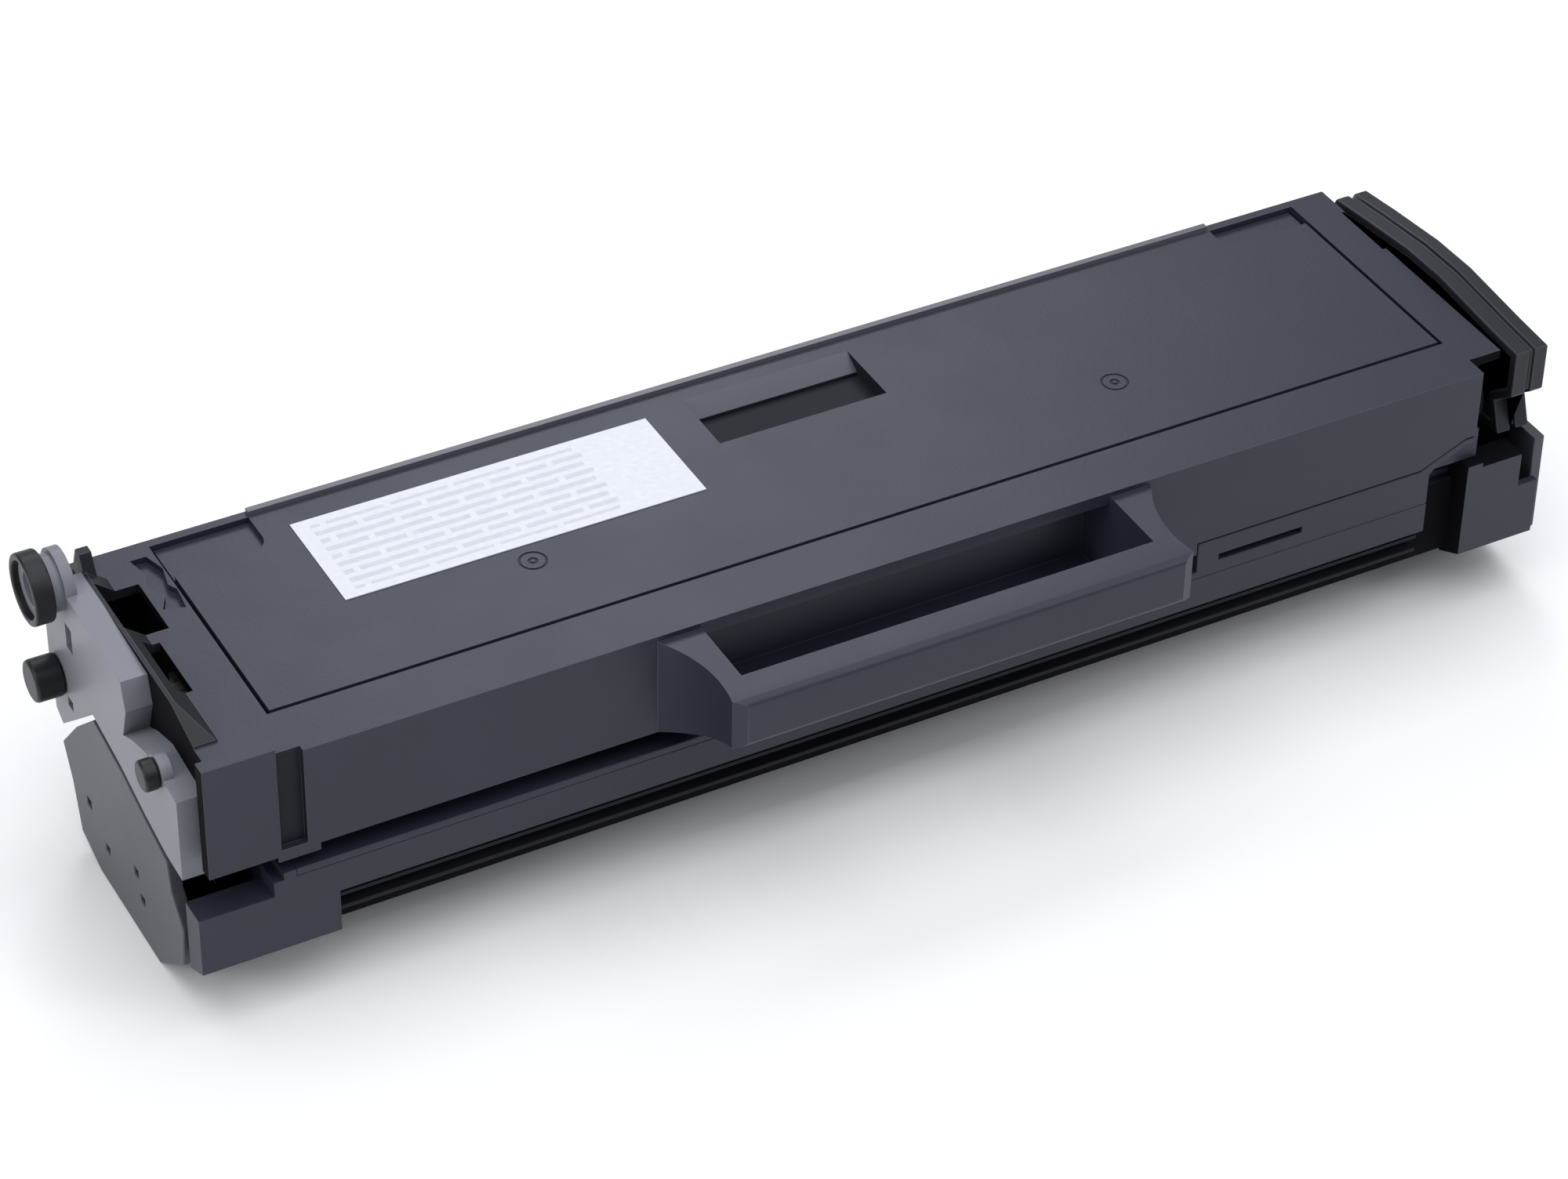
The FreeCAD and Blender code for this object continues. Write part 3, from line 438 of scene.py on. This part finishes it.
def join_flat_faces(bm):
    """Merge doubled corners, and dissolve the edges that lie inside flat faces."""
    bmesh.ops.remove_doubles(bm, verts=bm.verts, dist=MERGE_DISTANCE)
    bmesh.ops.dissolve_limit(bm, angle_limit=FLAT_ANGLE, verts=bm.verts, edges=bm.edges)


def as_piece(bm, name, body, slot, finish=None):
    """Make a piece of a mesh, on its body, dressed in the finish that it shows, or in its slot's
    finish when none is given.
    """
    mesh = bpy.data.meshes.new(name)
    bm.to_mesh(mesh)
    bm.free()
    if "custom_normal" in mesh.attributes:
        mesh.attributes.remove(mesh.attributes["custom_normal"])
    piece = bpy.data.objects.new(name, mesh)
    bpy.context.scene.collection.objects.link(piece)
    dress(piece, finish or slot)
    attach(piece, body)
    return piece


def skin(node, finish=None):
    """Copy of a CAD node that stands for it, so that its edges and faces can be finished."""
    bm = bmesh.new()
    bm.from_mesh(nodes[node].data)
    join_flat_faces(bm)
    piece = as_piece(bm, node + "_skin", body_of[node], slot_of[node], finish)
    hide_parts(node)
    return piece


def carve(piece, bm):
    """Cut a shape out of a piece."""
    mesh = bpy.data.meshes.new("cutter")
    bmesh.ops.recalc_face_normals(bm, faces=bm.faces)
    bm.to_mesh(mesh)
    bm.free()
    cutter = bpy.data.objects.new("cutter", mesh)
    bpy.context.scene.collection.objects.link(cutter)
    cut = piece.modifiers.new("cut", "BOOLEAN")
    cut.operation = "DIFFERENCE"
    cut.solver = "EXACT"
    cut.object = cutter
    graph = bpy.context.evaluated_depsgraph_get()
    piece.data = bpy.data.meshes.new_from_object(piece.evaluated_get(graph))
    piece.modifiers.clear()
    bpy.data.objects.remove(cutter)
    flat = bmesh.new()
    flat.from_mesh(piece.data)
    join_flat_faces(flat)
    flat.to_mesh(piece.data)
    flat.free()


def round_edges(piece, radius, highlight_finish=None):
    """Round the sharp edges, with a lighter finish on them as a painted highlight where one is
    given.
    """
    piece.data.shade_smooth()
    rounding = piece.modifiers.new("edge_radius", "BEVEL")
    rounding.width = radius * MM
    rounding.segments = 2
    rounding.limit_method = "ANGLE"
    rounding.angle_limit = SHARP_ANGLE
    rounding.harden_normals = True
    if highlight_finish:
        rounding.material = add_finish(piece, highlight_finish)


def extruded(bm, start, end, profile):
    """Solid between two places along the cartridge, from a profile of (y, z)."""
    corners = [bm.verts.new(at(start, y, z)) for y, z in profile]
    face = bm.faces.new(corners)
    made = bmesh.ops.extrude_face_region(bm, geom=[face])
    moved = [v for v in made["geom"] if isinstance(v, bmesh.types.BMVert)]
    bmesh.ops.translate(bm, verts=moved, vec=((end - start) * MM, 0, 0))


def ring(bm, centre, inner, outer, low, high):
    """Square-section ring about an upright axis."""
    x, y = centre
    section = [(inner, low), (outer, low), (outer, high), (inner, high)]
    corners = [bm.verts.new(at(x + r, y, z)) for r, z in section]
    edges = [bm.edges.new((corners[i - 1], corners[i])) for i in range(4)]
    bmesh.ops.spin(bm, geom=corners + edges, cent=at(x, y, 0), axis=(0, 0, 1),
                   angle=math.tau, steps=RING_STEPS, use_merge=True)


def rounded_block(bm, centre, size, corner):
    """Block whose four edges along Y are rounded."""
    made = bmesh.ops.create_cube(bm, size=1, matrix=Matrix.Translation(centre)
                                 @ Matrix.Diagonal((*size, 1)))
    along = {edge for vert in made["verts"] for edge in vert.link_edges
             if abs(edge.verts[0].co.y - edge.verts[1].co.y) > size.y / 2}
    bmesh.ops.bevel(bm, geom=list(along), offset=corner * MM, offset_type="OFFSET",
                    affect="EDGES", segments=3, profile=0.5, material=-1)


# Lid, with its finger well and the two round marks of the mould's tools. Painted shade darkens
# the well and the marks' grooves, and a painted highlight lightens the well's sloped back.

LID_RADIUS = 0.25
CUT_TOP = DECK + 1
WELL_SPILL = 0.1
SLOPE_FOOT, SLOPE_TOP = WELL_BACK - 4.6, WELL_BACK - 0.5
SLOPE_DROP = 2.5
WELL_PROFILE = ((WELL_FRONT - WELL_SPILL, CUT_TOP), (WELL_FRONT + 0.9, WELL_FLOOR),
                (SLOPE_FOOT, WELL_FLOOR), (SLOPE_FOOT, DECK - SLOPE_DROP),
                (SLOPE_TOP, DECK), (SLOPE_TOP, CUT_TOP))
MARKS = ((78.4, 30.5), (203.2, 30.2))
MARK_RINGS = ((2.3, 2.8), (0.4, 1.0))
MARK_DEPTH = 0.15
MARK_REACH = 3.2
LID_TINTS = {
    # painted shade on the floor and walls of the finger well
    "well_shade": [((WELL_LEFT - 0.5, WELL_FRONT - 0.5, WELL_FLOOR - 0.1),
                    (WELL_RIGHT + 0.5, WELL_BACK + 0.5, DECK - 1.4))],
    # painted highlight on the well's sloped back
    "well_slope": [((WELL_LEFT - 0.5, WELL_BACK - 4.5, DECK - 1.4),
                    (WELL_RIGHT + 0.5, WELL_BACK + 0.5, DECK - 0.3))],
    # painted shade in the tool marks' grooves
    "tool_mark": [((x - MARK_REACH, y - MARK_REACH, DECK - 0.3),
                   (x + MARK_REACH, y + MARK_REACH, DECK - 0.02)) for x, y in MARKS],
}


def make_lid():
    """Lid with a sloped back to its finger well and two round tool marks; painted shade in the
    well and the marks, a painted highlight on the slope.
    """
    lid = skin("hopper_lid")
    well = bmesh.new()
    extruded(well, WELL_LEFT - WELL_SPILL, WELL_RIGHT + WELL_SPILL, WELL_PROFILE)
    carve(lid, well)
    marks = bmesh.new()
    for place in MARKS:
        for inner, outer in MARK_RINGS:
            ring(marks, place, inner, outer, DECK - MARK_DEPTH, DECK + 0.5)
    carve(lid, marks)
    tint_faces(lid, LID_TINTS)
    round_edges(lid, LID_RADIUS)


# Hopper body. Painted shade darkens the rooms at its two ends and the upright recess beside the
# left front block, the raised rim at the left end is dark, and painted highlights pale the rail
# behind the deck.

HOPPER_RADIUS = 0.4
TAPER_START, TAPER_END = 2.0, 9.5
TAPER_PROFILE = ((8.0, DECK + 0.1), (19.0, DECK + 3.3), (19.0, DECK + 4.5), (8.0, DECK + 4.5))
HOPPER_TINTS = {
    # painted shade in the rooms behind both end caps
    "shell_inside": [((RIGHT_WALL - 0.1, 0.8, 28), (277.9, 67.5, DECK - 0.6)),
                     ((-2.6, 0.8, 28), (LEFT_WALL + 0.1, 67.5, DECK - 0.6))],
    # painted shade in the upright slot of the front block
    "well_shade": [((8, 0.25, 31), (20, 5, DECK - 0.4))],
    "rim_black": [((-3, 5, DECK + 0.2), (9, 67, DECK + 9))],
    # painted highlight on the rail along the back edge
    "rail_edge": [((10, 66.3, DECK - 0.3), (270, 69, DECK + 3))],
}


def make_hopper():
    """Hopper body, with the front end of its left rim tapered."""
    hopper = skin("hopper_body")
    taper = bmesh.new()
    extruded(taper, TAPER_START, TAPER_END, TAPER_PROFILE)
    carve(hopper, taper)
    tint_faces(hopper, HOPPER_TINTS)
    # the rounded edges get a pale finish, a painted highlight
    round_edges(hopper, HOPPER_RADIUS, "rubbed_edge")


# Drum frame. Painted shade darkens the room at its right end, the recess along its front and the
# ribs there.

FRAME_RADIUS = 0.35
BLOCK_START, BLOCK_END = RIGHT_WALL + 0.4, BODY_LENGTH - 4.1
BLOCK_PROFILE = ((-1, 28.6), (7, 28.6), (7, 34), (-1, 34))
FRAME_TINTS = {
    # painted shade in the room at the right end and in the recess along the front
    "shell_inside": [((CAVITY_START - 1, 0.8, -5), (CAVITY_END + 0.5, 66, 36)),
                     ((CAVITY_END, 2.0, 5), (BODY_LENGTH + 1, 66, 36)),
                     ((24, 0.5, 3), (CAVITY_START, 9, 17.3))],
    # painted shade on the ribs in the front recess
    "well_shade": [((24, 1.0, 10.5), (266, 4.9, 15.2))],
}


def make_frame():
    """Drum frame, with the top of its right front block cut lower."""
    lower = skin("drum_frame")
    top = bmesh.new()
    extruded(top, BLOCK_START, BLOCK_END, BLOCK_PROFILE)
    carve(lower, top)
    tint_faces(lower, FRAME_TINTS)
    round_edges(lower, FRAME_RADIUS)


# Chip: a card and its contact pads, which together fill the place of the CAD board.

PAD_COUNT = 4
PAD_SIZE = (2.4, 0.06, 6.0)
PAD_START, PAD_PITCH = 2.3, 3.13
BOARD_CORNER, PAD_CORNER = 0.6, 0.4


def make_chip():
    """Circuit board with four contact pads on its back face."""
    low, high = (Vector(corner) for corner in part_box("chip_board"))
    pad = Vector(PAD_SIZE) * MM
    proud = Vector((0, pad.y, 0))
    board = bmesh.new()
    rounded_block(board, (low + high - proud) / 2, high - low - proud, BOARD_CORNER)
    card = as_piece(board, "chip_card", HOUSING, "circuit_board")
    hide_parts("chip_board")
    pads = bmesh.new()
    for i in range(PAD_COUNT):
        place = Vector((low.x + (PAD_START + PAD_PITCH * i) * MM, high.y - pad.y / 2,
                        (low.z + high.z) / 2))
        rounded_block(pads, place, pad, PAD_CORNER)
    as_piece(pads, "chip_pads", HOUSING, "sheet_steel", "gold_pads")


# Edge radii of the plainer mouldings, and the nodes seen through the deck's openings, dressed
# black as painted shade.

CAP_RADIUS = 0.35
EDGE_RADII = {"waste_cover": 0.25, "left_side_plate": 0.35, "right_side_plate": 0.35,
              "gear_side_plate": 0.35, "guide_pin": 0.7, "guide_boss": 0.45,
              "locating_pin": 0.6}
PLUG_RADIUS = 0.3
SHOWN_BLACK_AS_SHADE = ("agitator_gear", "idler_gear", "supply_gear", "developer_gear", "agitator_shaft",
               "supply_bushing_left", "developer_bushing_left")

make_camera()
make_studio()
for node, piece in nodes.items():
    # parts seen through the openings are dressed black acetal as painted shade
    dress(piece, "gear_acetal" if node in SHOWN_BLACK_AS_SHADE else slot_of[node])
make_lid()
make_hopper()
make_frame()
# the end cap's rounded edges get a lighter finish, a painted highlight
round_edges(skin("right_end_plate", "cap_moulding"), CAP_RADIUS, "cap_edge")
make_chip()
for node, radius in EDGE_RADII.items():
    round_edges(skin(node), radius)
# The fill plug is near black: painted shade for its place in the dark room at the right end.
round_edges(skin("fill_plug", "shell_inside"), PLUG_RADIUS)

bpy.context.scene.view_settings.view_transform = "Standard"
